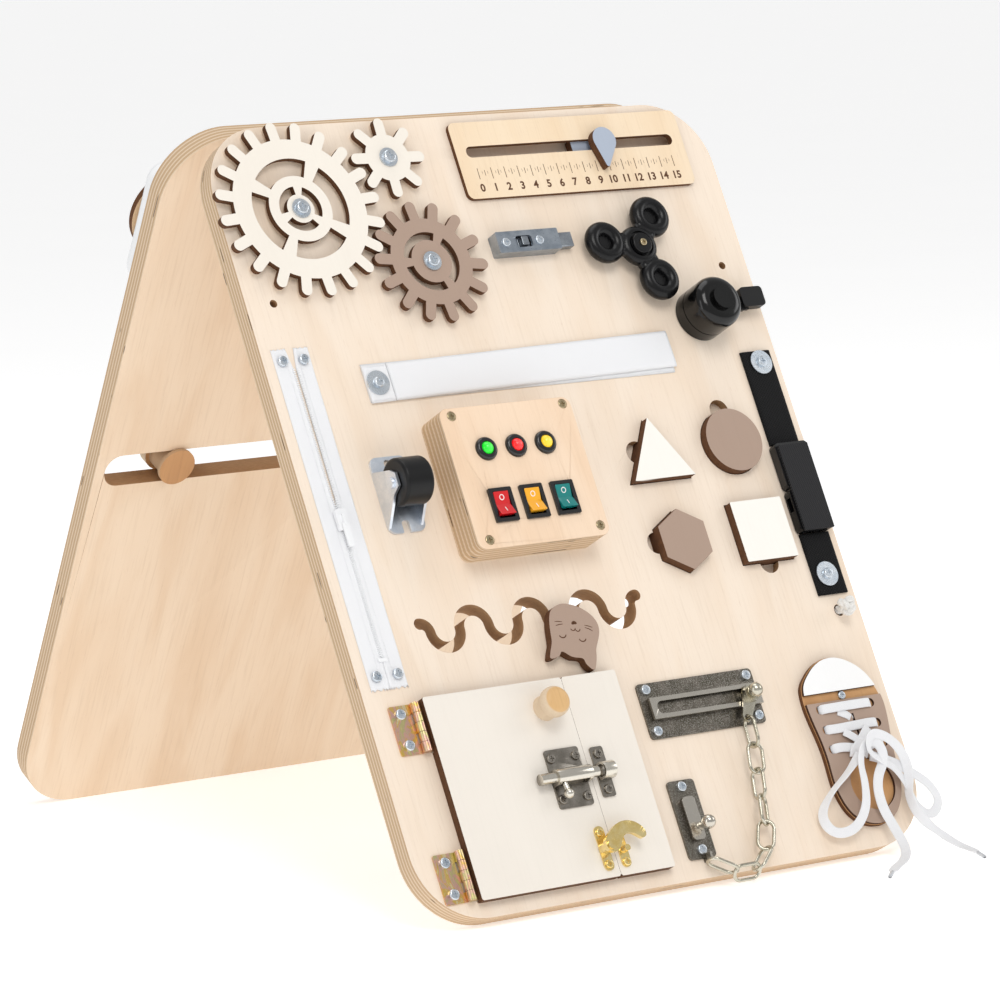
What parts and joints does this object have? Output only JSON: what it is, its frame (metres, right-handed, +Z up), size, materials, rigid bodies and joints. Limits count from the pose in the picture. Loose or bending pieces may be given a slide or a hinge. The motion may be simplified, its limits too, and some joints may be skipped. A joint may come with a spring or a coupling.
{
  "type": "wooden busy board",
  "caption": "Folding A-frame activity board for small children, with meshing gears, latches, switches, a little door, shape blocks, a lacing shoe and other things to move.",
  "frame": {"origin": "on the floor, centred between the two feet", "axes": "+X to the right seen from the front, -Y out of the front board, +Z up"},
  "size_m": [0.3864, 0.5587, 0.4528],
  "materials": {
    "birch": "clear sanded birch plywood",
    "birch_light": "laser cut birch plywood",
    "white_paint": "matt white paint, burnt edges",
    "taupe_paint": "matt taupe paint, burnt edges",
    "blue_grey_paint": "matt blue-grey paint, burnt edges",
    "natural_wood": "clear satin",
    "zinc": "bright zinc",
    "yellow_zinc": "iridescent yellow zinc",
    "dark_nickel": "antiqued nickel",
    "bright_brass": "polished",
    "chain_nickel": "nickel plated",
    "grey_steel": "satin",
    "black_gloss": "gloss",
    "black_matt": "matt",
    "bell_black": "gloss",
    "rocker_red_plastic": "gloss",
    "rocker_amber_plastic": "gloss",
    "rocker_teal_plastic": "gloss",
    "white_plastic": "satin",
    "webbing": "woven",
    "white_tape": "woven",
    "white_cord": "braided"
  },
  "bodies": {
    "front_board": {"front_panel": "birch", "fold_hinge_front": "zinc", "ruler_plate": "birch_light", "slide_latch_case": "grey_steel", "bell_base": "bell_black", "bell_dome": "bell_black", "zipper_tapes": "white_tape", "velcro_base_strap": "white_tape", "panel_fasteners": "zinc", "box_body": "birch", "box_lid": "birch_light", "box_bezels": "black_gloss", "battery_pack": "black_matt", "caster_bracket": "zinc", "buckle_straps": "webbing", "buckle_socket": "black_gloss", "door_post": "white_paint", "door_hinge_fixed": "yellow_zinc", "post_catches": "dark_nickel", "chain_plates": "dark_nickel", "chain_links": "chain_nickel", "shoe_board": "natural_wood", "shoe_upper": "taupe_paint", "lace_crossings": "white_cord", "lace_left": "white_cord", "lace_right": "white_cord", "spread_rope": "white_cord"},
    "rear_board": {"rear_panel": "birch", "fold_hinge_rear": "zinc", "rear_box": "white_plastic"},
    "large_gear": {"gear_large": "white_paint"},
    "small_gear": {"gear_small": "white_paint"},
    "medium_gear": {"gear_medium": "taupe_paint"},
    "pointer": {"ruler_pointer": "blue_grey_paint"},
    "latch_bolt": {"slide_latch_bolt": "grey_steel"},
    "spinner": {"spinner_body": "black_gloss"},
    "lever": {"bell_lever": "black_matt"},
    "zip": {"zipper_slider": "white_plastic"},
    "top_strap": {"velcro_top_strap": "white_tape"},
    "red_rocker": {"rocker_red": "rocker_red_plastic"},
    "yellow_rocker": {"rocker_yellow": "rocker_amber_plastic"},
    "green_rocker": {"rocker_green": "rocker_teal_plastic"},
    "caster": {"caster_wheel": "black_matt"},
    "triangle": {"shape_triangle": "white_paint"},
    "circle": {"shape_circle": "taupe_paint"},
    "hexagon": {"shape_hexagon": "taupe_paint"},
    "square": {"shape_square": "white_paint"},
    "tongue": {"buckle_tongue": "black_gloss"},
    "cat_carrier": {"cat_stud": "natural_wood"},
    "cat": {"cat_figure": "taupe_paint"},
    "door": {"door_leaf": "white_paint", "door_hinge_moving": "yellow_zinc", "door_knob": "natural_wood", "bolt_body": "dark_nickel", "latch_plate": "bright_brass"},
    "bolt": {"bolt_rod": "dark_nickel"},
    "horn_latch": {"latch_arm": "bright_brass"},
    "chain_carrier": {"chain_slider": "dark_nickel"},
    "rear_slider": {"rear_slide": "natural_wood"},
    "dial": {"rear_dial": "birch_light"}
  },
  "joints": [
    {"name": "fold", "type": "hinge", "parent": "front_board", "child": "rear_board", "pos_m": [0, 0, 0.44], "axis": [-1, 0, 0], "range_deg": [0, 54], "deforming": ["spread_rope"]},
    {"name": "large_gear_spin", "type": "hinge", "parent": "front_board", "child": "large_gear", "pos_m": [-0.1332, -0.04771, 0.40117], "axis": [0, -0.887, 0.4617], "continuous": true},
    {"name": "small_gear_spin", "type": "hinge", "parent": "front_board", "child": "small_gear", "pos_m": [-0.061, -0.03413, 0.42725], "axis": [0, -0.887, 0.4617], "continuous": true},
    {"name": "medium_gear_spin", "type": "hinge", "parent": "front_board", "child": "medium_gear", "pos_m": [-0.0525, -0.06636, 0.36533], "axis": [0, -0.887, 0.4617], "continuous": true},
    {"name": "pointer_slide", "type": "slide", "parent": "front_board", "child": "pointer", "axis": [1, 0, 0], "range_m": [-0.0865, 0.0529]},
    {"name": "latch_bolt_slide", "type": "slide", "parent": "front_board", "child": "latch_bolt", "axis": [1, 0, 0], "range_m": [-0.003, 0.003]},
    {"name": "spinner_spin", "type": "hinge", "parent": "front_board", "child": "spinner", "pos_m": [0.1004, -0.07093, 0.36523], "axis": [0, -0.887, 0.4617], "continuous": true},
    {"name": "bell_lever_flick", "type": "hinge", "parent": "front_board", "child": "lever", "pos_m": [0.1495, -0.09158, 0.32446], "axis": [0, -0.887, 0.4617], "range_deg": [-25, 25], "stiffness_Nm_per_rad": 0.05},
    {"name": "zip_slide", "type": "slide", "parent": "front_board", "child": "zip", "axis": [0, 0.4617, 0.887], "range_m": [-0.078, 0.088]},
    {"name": "strap_peel", "type": "hinge", "parent": "front_board", "child": "top_strap", "pos_m": [-0.1039, -0.09878, 0.2998], "axis": [0, -0.4617, -0.887], "range_deg": [0, 115]},
    {"name": "caster_spin", "type": "hinge", "parent": "front_board", "child": "caster", "pos_m": [-0.124, -0.14385, 0.24615], "axis": [1, 0, 0], "continuous": true},
    {"name": "triangle_lift", "type": "slide", "parent": "front_board", "child": "triangle", "axis": [0, -0.887, 0.4617], "range_m": [0, 0.03]},
    {"name": "circle_lift", "type": "slide", "parent": "front_board", "child": "circle", "axis": [0, -0.887, 0.4617], "range_m": [0, 0.03]},
    {"name": "hexagon_lift", "type": "slide", "parent": "front_board", "child": "hexagon", "axis": [0, -0.887, 0.4617], "range_m": [0, 0.03]},
    {"name": "square_lift", "type": "slide", "parent": "front_board", "child": "square", "axis": [0, -0.887, 0.4617], "range_m": [0, 0.03]},
    {"name": "tongue_slide", "type": "slide", "parent": "front_board", "child": "tongue", "axis": [0, 0.4617, 0.887], "range_m": [0, 0.02], "deforming": ["buckle_straps"]},
    {"name": "cat_travel", "type": "hinge", "parent": "front_board", "child": "cat_carrier", "pos_m": [-0.0345, -0.16888, 0.15974], "axis": [0, -0.887, 0.4617], "range_deg": [-80, 80]},
    {"name": "cat_spin", "type": "hinge", "parent": "cat_carrier", "child": "cat", "pos_m": [-0.0345, -0.17722, 0.15238], "axis": [0, -0.887, 0.4617], "continuous": true},
    {"name": "door_swing", "type": "hinge", "parent": "front_board", "child": "door", "pos_m": [-0.1555, -0.21881, 0.07097], "axis": [0, -0.4617, -0.887], "range_deg": [0, 150]},
    {"name": "bolt_slide", "type": "slide", "parent": "door", "child": "bolt", "axis": [1, 0, 0], "range_m": [0, 0.015]},
    {"name": "horn_latch_turn", "type": "hinge", "parent": "door", "child": "horn_latch", "pos_m": [-0.0593, -0.24703, 0.0356], "axis": [0, -0.887, 0.4617], "range_deg": [0, 95]},
    {"name": "chain_slide", "type": "slide", "parent": "front_board", "child": "chain_carrier", "axis": [1, 0, 0], "range_m": [-0.055, 0.002], "deforming": ["chain_links"]},
    {"name": "red_rocker_tilt", "type": "hinge", "parent": "front_board", "child": "red_rocker", "pos_m": [-0.0673, -0.1574, 0.22727], "axis": [1, 0, 0], "range_deg": [0, 18]},
    {"name": "yellow_rocker_tilt", "type": "hinge", "parent": "front_board", "child": "yellow_rocker", "pos_m": [-0.0448, -0.1574, 0.22727], "axis": [1, 0, 0], "range_deg": [0, 18]},
    {"name": "green_rocker_tilt", "type": "hinge", "parent": "front_board", "child": "green_rocker", "pos_m": [-0.0223, -0.1574, 0.22727], "axis": [1, 0, 0], "range_deg": [0, 18]},
    {"name": "rear_slider_slide", "type": "slide", "parent": "rear_board", "child": "rear_slider", "axis": [1, 0, 0], "range_m": [-0.039, 0.137]},
    {"name": "dial_turn", "type": "hinge", "parent": "rear_board", "child": "dial", "pos_m": [-0.136, 0.09518, 0.39443], "axis": [0, 0.887, 0.4617], "continuous": true}
  ],
  "couplings": [
    {"joint": "small_gear_spin", "follows": "large_gear_spin", "ratio": -2.5},
    {"joint": "medium_gear_spin", "follows": "large_gear_spin", "ratio": -1.4286}
  ]
}
